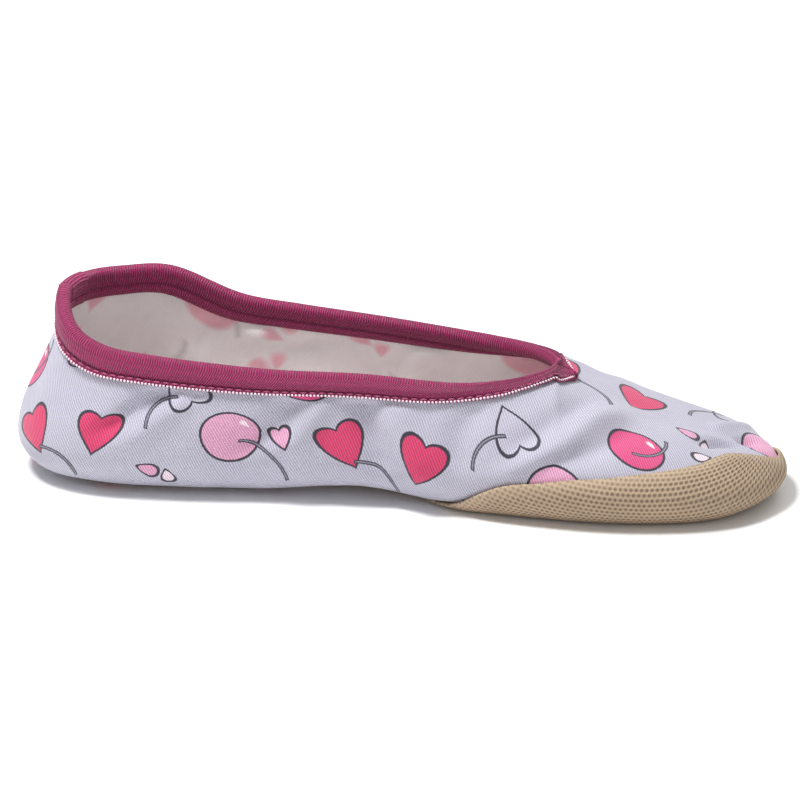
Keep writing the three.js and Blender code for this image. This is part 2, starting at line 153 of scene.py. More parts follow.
# Where the rubber ends on the near and the far side, and how far the fabric is turned in, as
# levels from heel to toe
edgeRows = [
    (0, 0.9, 0.9, 0.5),
    (0.1, 0.9, 0.9, 0.48),
    (0.27, 0.8, 0.8, 0.42),
    (0.42, 0.64, 0.64, 0.32),
    (0.5, 0.76, 0.76, 0.4),
    (0.54, 0.96, 0.96, 0.5),
    (0.58, 1.32, 1.32, 0.58),
    (0.62, 1.7, 1.7, 0.64),
    (0.66, 1.92, 1.92, 0.7),
    (0.73, 2.06, 2.06, 0.72),
    (0.8, 2.16, 2.08, 0.72),
    (0.9, 2.43, 2.03, 0.72),
    (0.945, 2.66, 1.96, 0.7),
    (0.98, 2.73, 2, 0.66),
    (0.994, 2.68, 2.3, 0.66),
    (1, 2.58, 2.58, 0.66),
]


def mix(a, b, t):
    return a + (b - a) * t


def clamp(value, low=0.0, high=1.0):
    return max(low, min(high, value))


def smooth(value):
    t = clamp(value)
    return t * t * (3 - 2 * t)


def shapeAt(rows, share):
    # A smooth curve through a table of places and values, level beyond its ends
    for (a, low), (b, high) in zip(rows, rows[1:]):
        if share <= b:
            return mix(low, high, smooth((share - a) / (b - a)))
    return rows[-1][1]


def roundAngle(share):
    return math.acos(clamp(1 - 2 * share, -1, 1))


def columnCurve(rows, index):
    # A smooth curve through one column of a table, round at both ends
    angles = [roundAngle(row[0]) for row in rows]
    values = [row[index] for row in rows]
    slopes = []
    for i in range(len(rows)):
        before, after = max(i - 1, 0), min(i + 1, len(rows) - 1)
        slopes.append((values[after] - values[before]) / (angles[after] - angles[before]))

    @lru_cache(maxsize=None)
    def value(share):
        angle = roundAngle(share)
        i = 0
        while i < len(rows) - 2 and angle > angles[i + 1]:
            i += 1
        step = angles[i + 1] - angles[i]
        t = (angle - angles[i]) / step
        start = (1 + 2 * t) * (1 - t) * (1 - t) * values[i] + t * t * (3 - 2 * t) * values[i + 1]
        return start + step * t * (1 - t) * ((1 - t) * slopes[i] - t * slopes[i + 1])

    return value


byHeel, byBall, widestShare, bendShare = [columnCurve(lastRows, i) for i in range(1, 5)]
ridgeByToe, ridgeByInstep, ridgeTent = [columnCurve(ridgeRows, i) for i in range(1, 4)]
collarHalf, nearHeel, nearInstep, farHeel, farInstep, closingAngle, uprightShare = [
    columnCurve(collarRows, i) for i in range(1, 8)
]
nearSole, farSole, marginLevel = [columnCurve(edgeRows, i) for i in range(1, 4)]


def alongOf(place):
    return (1 + math.cos(math.pi * place)) / 2


def placeOf(along, side):
    return side * math.acos(clamp(2 * along - 1, -1, 1)) / math.pi


def sideOf(place):
    return -1 if place < 0 else 1


def soleEdge(place):
    return nearSole(alongOf(place)) if place < 0 else farSole(alongOf(place))


@lru_cache(maxsize=None)
def outline(place):
    at = alongOf(place)
    half = (byHeel(at) * shoe["heelWidth"] + byBall(at) * shoe["ballWidth"]) / 2
    return Vector((heelEnd + upperLength * at, sideOf(place) * half))


@lru_cache(maxsize=None)
def outlineNormal(place):
    step = 0.002
    wrapped = [value - 2 if value > 1 else value + 2 if value < -1 else value
               for value in (place - step, place + step)]
    along = (outline(wrapped[1]) - outline(wrapped[0])).normalized()
    return Vector((along.y, -along.x))


def bottomHeight(x, y):
    share = (x - heelEnd) / shoe["length"]
    arch = clamp((share - shoe["archBack"]) / (shoe["archFront"] - shoe["archBack"]))
    toe = max((share - shoe["springStart"]) / shoe["springLength"], 0)
    heel = max(1 - share / shoe["heelSpringLength"], 0)
    hollow = shoe["soleHollow"] * (1 - min(abs(y) / shoe["hollowHalfWidth"], 1) ** 2)
    rise = shoe["archHeight"] * math.sin(math.pi * arch) ** 2
    return rise + shoe["toeSpring"] * (toe ** 2 + heel ** 2 / 2) + hollow


def onVamp(place):
    return abs(place) <= throatTurn


def closerAtThroat(share):
    away = 1 - clamp(share)
    crowding = shoe["throatCrowding"]
    return 1 - away * away * (1 + crowding) / (away + crowding)


def vampShare(place):
    return closerAtThroat((1 - alongOf(place)) / (1 - alongOf(throatTurn)))


def collarShare(place):
    return closerAtThroat(alongOf(place) / alongOf(throatTurn))


def levelling(place):
    return collarShare(place) ** shoe["throatBlend"]


@lru_cache(maxsize=None)
def ridgeAt(place):
    share = vampShare(place)
    height = ridgeByToe(share) * shoe["toeHeight"]
    height += ridgeByInstep(share) * (shoe["instepHeight"] - tapeRise)
    return Vector((mix(ridgeFront, collarFront, share), 0, height))


@lru_cache(maxsize=None)
def collarAt(place):
    share, side = collarShare(place), sideOf(place)
    heel, instep = (nearHeel, nearInstep) if side < 0 else (farHeel, farInstep)
    height = heel(share) * shoe["heelHeight"] + instep(share) * shoe["instepHeight"] - tapeRise
    half = collarHalf(share) * shoe["collarWidth"] / 2
    return Vector((mix(collarBack, collarFront, share), side * half, height))


def wallShares(place, t):
    # How far the wall has come across and up, from the widest line (0) to its top (1)
    vamp = onVamp(place)
    closing = math.radians(90 if vamp else closingAngle(collarShare(place)))
    upright = 0 if vamp else uprightShare(collarShare(place))
    tent = ridgeTent(vampShare(place)) if vamp else ridgeTent(1) * levelling(place)
    across = mix((1 - math.cos(closing * t)) / (1 - math.cos(closing)), t * t * (3 - 2 * t), upright)
    up = mix(math.sin(closing * t) / math.sin(closing), t, upright)
    return mix(across, t, tent), mix(up, t, tent * (1 - t))


@lru_cache(maxsize=None)
def alongCollar(place):
    def neighbour(step):
        there = place + step
        if abs(there) < throatTurn:
            return -math.copysign(2 * throatTurn - abs(there), place)
        return there - math.copysign(2, there) if abs(there) > 1 else there

    return (collarAt(neighbour(0.006)) - collarAt(neighbour(-0.006))).normalized()


@lru_cache(maxsize=None)
def topNormal(place):
    up = Vector((0, 0, 1))
    if onVamp(place):
        return up
    flat = outline(place)
    base = Vector((flat.x, flat.y, upperFloor + widestShare(alongOf(place)) * shoe["instepHeight"]))
    across, rise = wallShares(place, 0.98)
    way = collarAt(place) - base
    slope = Vector((way.x * (1 - across), way.y * (1 - across), way.z * (1 - rise))).normalized()
    return alongCollar(place).cross(slope).lerp(up, levelling(place)).normalized()


@lru_cache(maxsize=None)
def section(place, offset):
    # The four points that a section of the last is drawn through, moved out by an offset
    at, flat, out = alongOf(place), outline(place), outlineNormal(place)
    x = heelEnd + upperLength * mix(shoe["middleBack"], shoe["middleFront"], at)
    middle = Vector((x, 0, 0))
    inset = flat - out * shoe["bendRadius"] * bendShare(at)
    edge = Vector((inset.x, inset.y, upperFloor + bottomHeight(inset.x, inset.y) - offset))
    wide = flat + out * offset
    widest = Vector((wide.x, wide.y, upperFloor + widestShare(at) * shoe["instepHeight"]))
    top = (ridgeAt(place) if onVamp(place) else collarAt(place)) + topNormal(place) * offset
    return middle, edge, widest, top


def lastPoint(place, level, offset):
    # level: 0 middle line underneath, 1 edge of the floor, 2 widest line, 3 ridge or collar
    middle, edge, widest, top = section(place, offset)
    if level <= 1:
        point = middle.lerp(edge, max(level, 0))
        point.z = upperFloor + bottomHeight(point.x, point.y) - offset
        return point
    if level <= 2:
        turn = (level - 1) * math.pi / 2
        across, up = math.sin(turn), 1 - math.cos(turn)
        start, end = edge, widest
    else:
        across, up = wallShares(place, min(level - 2, 1))
        start, end = widest, top
    return Vector((mix(start.x, end.x, across), mix(start.y, end.y, across), mix(start.z, end.z, up)))


@lru_cache(maxsize=None)
def levelBelowTop(place, way):
    step = 1 / 60
    level, point, left = 3, lastPoint(place, 3, 0), way
    while left > 0 and level > 2:
        lower = lastPoint(place, level - step, 0)
        stretch = (point - lower).length
        if stretch >= left:
            return level - left / stretch * step
        left -= stretch
        level -= step
        point = lower
    return level


# The lower edge of the tape is drawn straight into its tip: what that adds to its reach, by how
# far ahead of the throat, in mm
tipEase = [(-7, 0), (-3, 0.4), (-1, 0.55), (0, 0.1), (1, -0.5), (2, -0.8), (3, -0.75), (4, -0.35), (4.5, 0)]


def tapeReach(place, leg):
    ahead = (ridgeAt(place) if onVamp(place) else collarAt(place)).x - collarFront
    fromCentre = max(shoe["throatRadius"] + ahead, 0)
    tip = shoe["tapeTip"] + leg - shoe["tapeLeg"]
    left = max(1 - (fromCentre / (shoe["throatRadius"] + tip)) ** shoe["tapeTaper"], 0)
    wide = (shoe["throatRadius"] + leg) * left ** shoe["tapeBluntness"]
    reach = wide - math.sqrt(max(shoe["throatRadius"] ** 2 - fromCentre ** 2, 0))
    return max(reach + shapeAt(tipEase, ahead), 0)


def tapeLevel(place, leg=None):
    return levelBelowTop(place, tapeReach(place, shoe["tapeLeg"] if leg is None else leg))


def placeAheadOfThroat(way):
    low, high = 0, throatTurn
    for _ in range(40):
        middle = (low + high) / 2
        if ridgeAt(middle).x - collarFront > way:
            low = middle
        else:
            high = middle
    return high


# Modelling helpers


def deselectAll():
    bpy.ops.object.select_all(action="DESELECT")


def choose(piece):
    deselectAll()
    piece.select_set(True)
    bpy.context.view_layer.objects.active = piece


def gridSheet(name, columns, rows, placeAt):
    # A grid whose points are carried to where placeAt says: a point in mm and its cloth place
    deselectAll()
    bpy.ops.mesh.primitive_grid_add(x_subdivisions=columns, y_subdivisions=rows, size=2)
    sheet = bpy.context.object
    sheet.name = name
    sheet.data.uv_layers.active.name = "cloth"
    flatPlaces = []
    for vertex in sheet.data.vertices:
        point, flat = placeAt(round(vertex.co.x, 6), round((vertex.co.y + 1) / 2, 6))
        vertex.co = point * mm
        flatPlaces.append(flat)
    cloth = sheet.data.uv_layers.active.data
    for loop in sheet.data.loops:
        u, v = flatPlaces[loop.vertex_index]
        cloth[loop.index].uv = (u * mm, v * mm)
    return sheet


def editMesh(piece, *steps):
    choose(piece)
    bpy.ops.object.mode_set(mode="EDIT")
    bpy.ops.mesh.select_all(action="SELECT")
    for step in steps:
        step()
    bpy.ops.object.mode_set(mode="OBJECT")


def weld():
    bpy.ops.mesh.remove_doubles(threshold=0.00001)
    bpy.ops.mesh.dissolve_degenerate(threshold=0.000001)


def flip():
    bpy.ops.mesh.flip_normals()


def applyModifier(piece, kind, **settings):
    choose(piece)
    modifier = piece.modifiers.new(kind.lower(), kind)
    for name, value in settings.items():
        setattr(modifier, name, value)
    bpy.ops.object.modifier_apply(modifier=modifier.name)


def join(pieces):
    choose(pieces[0])
    for piece in pieces:
        piece.select_set(True)
    bpy.ops.object.join()
    return bpy.context.object


def dress(piece, *materials):
    for material in materials:
        piece.data.materials.append(material)


def finishPiece(piece, node=None):
    choose(piece)
    bpy.ops.object.shade_smooth()
    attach(piece, "root")
    if node:
        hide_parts(node)
    print("made", piece.name, len(piece.data.polygons), "faces")


# Materials


def colour(hexCode):
    parts = [int(hexCode[i:i + 2], 16) / 255 for i in (1, 3, 5)]
    linear = [part / 12.92 if part <= 0.04045 else ((part + 0.055) / 1.055) ** 2.4 for part in parts]
    return (*linear, 1)


def addNode(material, kind, settings=None, links=None):
    # settings: socket name or number, or a property. links: socket name or number to an output
    node = material.node_tree.nodes.new("ShaderNode" + kind)
    for key, value in (settings or {}).items():
        if isinstance(key, str) and hasattr(node, key):
            setattr(node, key, value)
        else:
            node.inputs[key].default_value = value
    for key, output in (links or {}).items():
        material.node_tree.links.new(output, node.inputs[key])
    return node


def newMaterial(name):
    material = bpy.data.materials.new(name)
    material.use_nodes = True
    return material, material.node_tree.nodes["Principled BSDF"]


def maths(material, operation, a, b=None, c=None, clamped=False):
    node = addNode(material, "Math", {"operation": operation, "use_clamp": clamped})
    for index, value in enumerate((a, b, c)):
        if value is None:
            continue
        if isinstance(value, (int, float)):
            node.inputs[index].default_value = value
        else:
            material.node_tree.links.new(value, node.inputs[index])
    return node.outputs[0]


def placeInMm(material):
    # The place on the cloth in mm: whole, along it and across it
    uvMap = addNode(material, "UVMap", {"uv_map": "cloth"})
    settings = {"operation": "SCALE", "Scale": 1000}
    inMm = addNode(material, "VectorMath", settings, {0: uvMap.outputs[0]}).outputs[0]
    parts = addNode(material, "SeparateXYZ", None, {0: inMm})
    return inMm, parts.outputs[0], parts.outputs[1]


def scaled(material, vector, factor):
    links = {0: vector, "Scale": factor}
    return addNode(material, "VectorMath", {"operation": "SCALE"}, links).outputs[0]


def wireShader(material, shader, tone, normal, settings):
    material.node_tree.links.new(tone, shader.inputs["Base Color"])
    material.node_tree.links.new(normal, shader.inputs["Normal"])
    for socket, value in settings.items():
        shader.inputs[socket].default_value = value


# The print on the knit: plain berries, hearts and petals in a small repeat of the maker's own,
# all in mm on the cloth. The repeat is shifted along the shoe from one row to the next.
cloth = {
    "repeat": (82, 47),
    "rowShift": 30,
    "rowStart": -12,
    "ribPitch": 0.65,
    "ribTurn": 24,
    "outline": 0.33,
    "stemHalf": 0.5,
    "stemCore": 0.32,
    "inkEdge": 0.09,
    "wobble": 0.22,
    "ground": "#c6c4d2",
    "groundShade": "#b2afc1",
    "ink": "#33313e",
    "pink": "#dfa3c2",
    "rose": "#d63d6c",
    "hotPink": "#dd4f86",
    "pale": "#ecd9e4",
    "bare": "#c0bccd",
    "stem": "#8f8c9c",
    "shine": "#f6e3ea",
    "reverse": "#f3efef",
    "showThrough": "#ea94aa",
}

# Places along and across the repeat, then sizes, the turn in degrees and the tone
berries = [(12, -6, 7.4, "pink"), (31, 13.5, 6.9, "hotPink")]
hearts = [
    (-41, -8, 6, 28, "rose"),
    (0, 9, 5.4, -150, "bare"),
    (-22, -8, 5.8, -14, "rose"),
    (25, -7, 2.8, 20, "pink"),
]
petals = [
    (-12, 16, 2.9, 1.9, 40, "pink"),
    (-7, 19.5, 2.6, 1.7, 95, "pink"),
    (-30, 15, 2.9, 1.9, -20, "pink"),
    (-35, 19, 2.4, 1.6, 30, "pale"),
    (-9, -17, 2.8, 1.8, 160, "pink"),
    (-4, -19, 2.4, 1.6, 100, "pale"),
]

# Where each stem starts and ends, and how far it bows out between
stems = [
    ((14, -8), (26, -19), 3),
    ((30, 11), (38, 21), -3),
    ((-39, -11), (-28, -20), 3),
    ((-1, 6), (-9, -5), -2.5),
]


def clothPlaces(material):
    # The place on the cloth in mm, and in the repeat of the print
    inMm, along, across = placeInMm(material)
    height = cloth["repeat"][1]
    up = maths(material, "SUBTRACT", across, cloth["rowStart"])
    row = maths(material, "FLOOR", maths(material, "DIVIDE", up, height))
    shifted = maths(material, "MULTIPLY_ADD", row, cloth["rowShift"], along)
    inRow = maths(material, "SUBTRACT", maths(material, "MULTIPLY_ADD", row, -height, up), height / 2)
    repeat = addNode(material, "CombineXYZ", None, {0: shifted, 1: inRow})
    return inMm, along, across, repeat.outputs[0]


def aboutPoint(material, repeat, x, y, turn=0):
    width = cloth["repeat"][0]
    moved = addNode(material, "VectorMath", {"operation": "SUBTRACT", 1: (x, y, 0)}, {0: repeat})
    limits = {"operation": "WRAP", 1: (width / 2, 500, 500), 2: (-width / 2, -500, -500)}
    wrapped = addNode(material, "VectorMath", limits, {0: moved.outputs[0]})
    if not turn:
        return wrapped.outputs[0]
    settings = {"rotation_type": "Z_AXIS", "Angle": math.radians(-turn)}
    return addNode(material, "VectorRotate", settings, {0: wrapped.outputs[0]}).outputs[0]


def distanceFrom(material, vector):
    return addNode(material, "VectorMath", {"operation": "LENGTH"}, {0: vector}).outputs["Value"]


def berryShape(material, repeat, x, y, radius):
    fromCentre = distanceFrom(material, aboutPoint(material, repeat, x, y))
    return maths(material, "SUBTRACT", fromCentre, radius)


def petalShape(material, repeat, x, y, longHalf, wideHalf, turn, taper=0.5):
    # An oval, drawn out to a tip at one end
    place = aboutPoint(material, repeat, x, y, turn)
    parts = addNode(material, "SeparateXYZ", None, {0: place})
    wide = maths(material, "MULTIPLY_ADD", parts.outputs[0], -taper / longHalf, 1)
    bent = maths(material, "DIVIDE", parts.outputs[1], maths(material, "MAXIMUM", wide, 0.15))
    place = addNode(material, "CombineXYZ", None, {0: parts.outputs[0], 1: bent}).outputs[0]
    settings = {"operation": "DIVIDE", 1: (longHalf, wideHalf, 1)}
    share = addNode(material, "VectorMath", settings, {0: place})
    beyond = maths(material, "SUBTRACT", distanceFrom(material, share.outputs[0]), 1)
    return maths(material, "MULTIPLY", beyond, math.sqrt(longHalf * wideHalf))


def heartShape(material, repeat, x, y, size, turn):
    place = aboutPoint(material, repeat, x, y, turn)
    parts = addNode(material, "SeparateXYZ", None, {0: place})
    wide = maths(material, "ABSOLUTE", maths(material, "DIVIDE", parts.outputs[0], size))
    lobe = maths(material, "MULTIPLY", maths(material, "POWER", wide, 0.75), 0.85)
    high = maths(material, "SUBTRACT", maths(material, "DIVIDE", parts.outputs[1], size * 0.9), lobe)
    bent = addNode(material, "CombineXYZ", None, {0: wide, 1: high})
    beyond = maths(material, "SUBTRACT", distanceFrom(material, bent.outputs[0]), 1)
    return maths(material, "MULTIPLY", beyond, size * 0.8)


def stemShape(material, repeat, start, end, sag):
    # A thin arc from start to end: a piece of a ring, cut off by a disc about its middle
    start, end = Vector(start), Vector(end)
    half = (end - start) / 2
    across = Vector((-half.y, half.x)).normalized()
    radius = (half.length_squared + sag * sag) / (2 * abs(sag))
    centre = (start + end) / 2 + across * (sag - math.copysign(radius, sag))
    middle = (start + end) / 2 + across * sag
    fromCentre = distanceFrom(material, aboutPoint(material, repeat, *centre))
    ring = maths(material, "ABSOLUTE", maths(material, "SUBTRACT", fromCentre, radius))
    fromMiddle = distanceFrom(material, aboutPoint(material, repeat, *middle))
    reach = maths(material, "SUBTRACT", fromMiddle, (start - middle).length)
    return maths(material, "MAXIMUM", maths(material, "SUBTRACT", ring, cloth["stemHalf"]), reach)


def within(material, distance, edge, soft):
    # 1 where the distance is under the edge, 0 beyond it
    settings = {"clamp": True, "From Min": edge + soft, "From Max": edge - soft}
    return addNode(material, "MapRange", settings, {"Value": distance}).outputs["Result"]


def blend(material, factor, under, over):
    node = addNode(material, "Mix", {"data_type": "RGBA"})
    for index, value in ((0, factor), (6, under), (7, over)):
        if isinstance(value, (int, float, tuple)):
            node.inputs[index].default_value = value
        else:
            material.node_tree.links.new(value, node.inputs[index])
    return node.outputs[2]


def printed(material, repeat, ground, soft, strength, outlined=True):
    # The shapes in their tones over the ground, the stems last. Not outlined, they are the soft
    # shadows that show through to the reverse.
    shapes = [(berryShape(material, repeat, x, y, r), tone) for x, y, r, tone in berries]
    shapes += [(heartShape(material, repeat, x, y, s, turn), tone) for x, y, s, turn, tone in hearts]
    shapes += [(petalShape(material, repeat, *rest), tone) for *rest, tone in petals]
    shapes += [(stemShape(material, repeat, *stem), "ink") for stem in stems]
    result = ground
    for distance, tone in shapes:
        isStem = tone == "ink"
        fill = within(material, distance, 0, soft)
        if strength < 1:
            fill = maths(material, "MULTIPLY", fill, strength * (0.5 if isStem else 1))
        shown = tone if outlined or isStem else "showThrough"
        result = blend(material, fill, result, colour(cloth[shown]))
        if outlined and isStem:
            core = within(material, distance, -cloth["stemCore"], soft)
            result = blend(material, core, result, colour(cloth["stem"]))
        elif outlined:
            rim = within(material, maths(material, "ABSOLUTE", distance), cloth["outline"], soft)
            result = blend(material, rim, result, colour(cloth["ink"]))
    if not outlined:
        return result
    for x, y, radius, _ in berries:
        centre = (x + radius * 0.5, y + radius * 0.5)
        gleam = petalShape(material, repeat, *centre, radius * 0.2, radius * 0.09, -45)
        result = blend(material, within(material, gleam, 0, 0.2), result, colour(cloth["shine"]))
    return result


def sineOf(material, coordinate, pitch, low=0.0, high=1.0):
    # A smooth wave between low and high that repeats every pitch
    wave = maths(material, "SINE", maths(material, "MULTIPLY", coordinate, 2 * math.pi / pitch))
    return maths(material, "MULTIPLY_ADD", wave, (high - low) / 2, (high + low) / 2)


def bump(material, height, distance, strength=1.0, under=None):
    links = {"Height": height}
    if under:
        links["Normal"] = under
    return addNode(material, "Bump", {"Distance": distance * mm, "Strength": strength}, links).outputs[0]


def noiseOf(material, vector, scale, detail=2.0):
    settings = {"Scale": scale, "Detail": detail}
    return addNode(material, "TexNoise", settings, {"Vector": vector}).outputs[0]


def knitRibs(material, inMm, along, across):
    # Fine slanting ribs of the jersey with a cross thread, wandering a little
    turn = math.radians(cloth["ribTurn"])
    slant = maths(material, "MULTIPLY", across, math.sin(turn))
    slanted = maths(material, "MULTIPLY_ADD", along, math.cos(turn), slant)
    wander = maths(material, "MULTIPLY", noiseOf(material, inMm, 0.12), 0.8)
    ribs = sineOf(material, maths(material, "ADD", slanted, wander), cloth["ribPitch"])
    cross = maths(material, "ADD", across, maths(material, "MULTIPLY", slanted, 0.5))
    threads = sineOf(material, cross, cloth["ribPitch"] * 1.2, 0.55, 1)
    return maths(material, "MULTIPLY", ribs, threads)


def printedKnit():
    # Polyester and elastane jersey, printed on its face: matt, with a faint sheen on the ribs
    material, shader = newMaterial("printed stretch knit")
    inMm, along, across, repeat = clothPlaces(material)
    wavy = addNode(material, "TexNoise", {"Scale": 1.1, "Detail": 1.0}, {"Vector": inMm})
    settings = {"operation": "SCALE", "Scale": cloth["wobble"]}
    nudge = addNode(material, "VectorMath", settings, {0: wavy.outputs["Color"]})
    drawn = addNode(material, "VectorMath", {"operation": "ADD"}, {0: repeat, 1: nudge.outputs[0]})
    ribs = knitRibs(material, inMm, along, across)
    cloudy = noiseOf(material, inMm, 0.05)
    ground = blend(material, cloudy, colour(cloth["groundShade"]), colour(cloth["ground"]))
    ink = printed(material, drawn.outputs[0], ground, cloth["inkEdge"], 1)
    # The colour is scaled by the rib relief: painted light on the rib crests and painted shade in the
    # grooves between them
    tone = scaled(material, ink, maths(material, "MULTIPLY_ADD", ribs, 0.58, 0.68))
    finish = {"Roughness": 0.72, "Sheen Weight": 0.25, "Sheen Roughness": 0.4}
    wireShader(material, shader, tone, bump(material, ribs, 0.14, 0.8), finish)
    return material


def knitReverse():
    # The unprinted reverse of the jersey: off-white, the print showing through as soft shadows
    material, shader = newMaterial("knit reverse")
    inMm, along, across, repeat = clothPlaces(material)
    through = printed(material, repeat, colour(cloth["reverse"]), 0.9, 0.7, False)
    ribs = knitRibs(material, inMm, along, across)
    # The ribs darken the reverse in their grooves as painted shade; a random mottle is added over it
    shade = maths(material, "MULTIPLY_ADD", ribs, 0.05, 0.9)
    mottleAndRibShade = maths(material, "MULTIPLY_ADD", noiseOf(material, inMm, 0.16), 0.14, shade)
    normal = bump(material, ribs, 0.1, 0.6)
    finish = {"Roughness": 0.85, "Sheen Weight": 0.2}
    wireShader(material, shader, scaled(material, through, mottleAndRibShade), normal, finish)
    return material


# The tread of the rubber, in mm: dimples in staggered rows, and a plain lip at the edge
tread = {
    "along": 1.3,
    "rows": 1.15,
    "dimple": 0.43,
    "lip": 2.4,
    "lipRibs": 1.1,
    "raised": "#b59e85",
    # hollow: the darker colour painted into the dimples, painted shade
    "hollow": "#75624f",
    "edge": "#c2ad93",
}


def dimpledRubber():
    # Thin moulded rubber sheeting: dull, with staggered dimples, painted darker inside as painted shade
    material, shader = newMaterial("dimpled rubber sheeting")
    inMm, along, across = placeInMm(material)
    row = maths(material, "FLOOR", maths(material, "DIVIDE", across, tread["rows"]))
    staggered = maths(material, "MULTIPLY_ADD", row, tread["along"] / 2, along)
    x = maths(material, "WRAP", staggered, tread["along"] / 2, -tread["along"] / 2)
    y = maths(material, "MULTIPLY_ADD", row, -tread["rows"], across)
    y = maths(material, "SUBTRACT", y, tread["rows"] / 2)
    cell = addNode(material, "CombineXYZ", None, {0: x, 1: maths(material, "MULTIPLY", y, 1.2)})
    dimple = within(material, distanceFrom(material, cell.outputs[0]), tread["dimple"], 0.24)
    fromEdge = addNode(material, "Attribute", {"attribute_name": "fromEdge"}).outputs["Fac"]
    lip = within(material, fromEdge, tread["lip"], tread["lip"] / 2)
    shallower = maths(material, "MULTIPLY_ADD", lip, -0.5, 1)
    relief = maths(material, "SUBTRACT", 1, maths(material, "MULTIPLY", dimple, shallower))
    ribbed = maths(material, "MULTIPLY", sineOf(material, along, tread["lipRibs"]), lip)
    relief = maths(material, "MULTIPLY_ADD", ribbed, 0.35, relief)
    # The dimples take the darker hollow colour: painted shade in the hollows
    base = blend(material, dimple, colour(tread["raised"]), colour(tread["hollow"]))
    base = blend(material, maths(material, "MULTIPLY", lip, 0.35), base, colour(tread["edge"]))
    patches = maths(material, "MULTIPLY_ADD", noiseOf(material, inMm, 0.09, 3), 0.3, 0.86)
    grit = bump(material, noiseOf(material, inMm, 3, 3), 0.05, 0.5)
    normal = bump(material, relief, 0.3, 0.9, grit)
    wireShader(material, shader, scaled(material, base, patches), normal, {"Roughness": 0.8})
    return material


# The elastic's ribs, and the lines across it where the seam draws it in, painted dark as shade in the seam's
# groove
tapeLook = {
    "rib": 0.62,
    # bright and deep: the rib crests and the gaps between them, painted light and shade mixed with random
    # flecks
    "bright": "#c23a78",
    "deep": "#6e1840",
    # seam: the dark colour of the painted shade along the seam lines
    "seam": "#5c1535",
    "seams": (1.6, 14.1),
}


def ribbedElastic(name, lengthwise=False):
    # Woven fold-over elastic: raspberry yarn in fine cross ribs, a little shiny where it is bent
    material, shader = newMaterial(name)
    inMm, along, across = placeInMm(material)
    ribbedWay, yarnWay = (across, along) if lengthwise else (along, across)
    wander = maths(material, "MULTIPLY", noiseOf(material, inMm, 0.35), 0.7)
    ribs = sineOf(material, maths(material, "ADD", ribbedWay, wander), tapeLook["rib"])
    yarn = sineOf(material, yarnWay, 0.9 if lengthwise else 1.5, 0.7, 1)
    relief = maths(material, "MULTIPLY", ribs, yarn)
    flecks = maths(material, "MULTIPLY_ADD", noiseOf(material, inMm, 2.2, 3), 0.9, -0.5)
    tone = maths(material, "ADD", relief, flecks, clamped=True)
    # The tone follows the ribs' relief, lighter on the crests and darker between them: painted light and
    # shade, with random flecks
    base = blend(material, tone, colour(tapeLook["deep"]), colour(tapeLook["bright"]))
    for seam in [] if lengthwise else tapeLook["seams"]:
        away = maths(material, "ABSOLUTE", maths(material, "SUBTRACT", across, seam))
        # Each seam line is painted darker: painted shade in the seam's groove
        seamShade = maths(material, "MULTIPLY", within(material, away, 0.3, 0.25), 0.6)
        base = blend(material, seamShade, base, colour(tapeLook["seam"]))
    finish = {"Roughness": 0.55, "Sheen Weight": 0.06, "Sheen Roughness": 0.35}
    wireShader(material, shader, base, bump(material, relief, 0.28, 1), finish)
    return material


def plainYarn(name, light, dark):
    # Twisted polyester yarn, painted bright on the turns and darker between them: painted light and shade
    material, shader = newMaterial(name)
    place = addNode(material, "TexCoord").outputs["Object"]
    spots = noiseOf(material, place, 2600, 2)
    # The colour follows the spots of the bump: painted light on the turns and painted shade between them
    base = blend(material, spots, colour(dark), colour(light))
    finish = {"Roughness": 0.6, "Sheen Weight": 0.2}
    wireShader(material, shader, base, bump(material, spots, 0.05, 0.6), finish)
    return material


def insoleCloth():
    # Off-white cotton insole cloth, plain weave, a little grey where the light doesn't reach
    material, shader = newMaterial("cotton insole cloth")
    inMm, along, across = placeInMm(material)
    weave = maths(material, "MULTIPLY", sineOf(material, along, 0.9), sineOf(material, across, 0.9))
    base = blend(material, noiseOf(material, inMm, 0.2, 3), colour("#b3aaa6"), colour("#cbc3bf"))
    wireShader(material, shader, base, bump(material, weave, 0.1, 0.6), {"Roughness": 0.9})
    return material
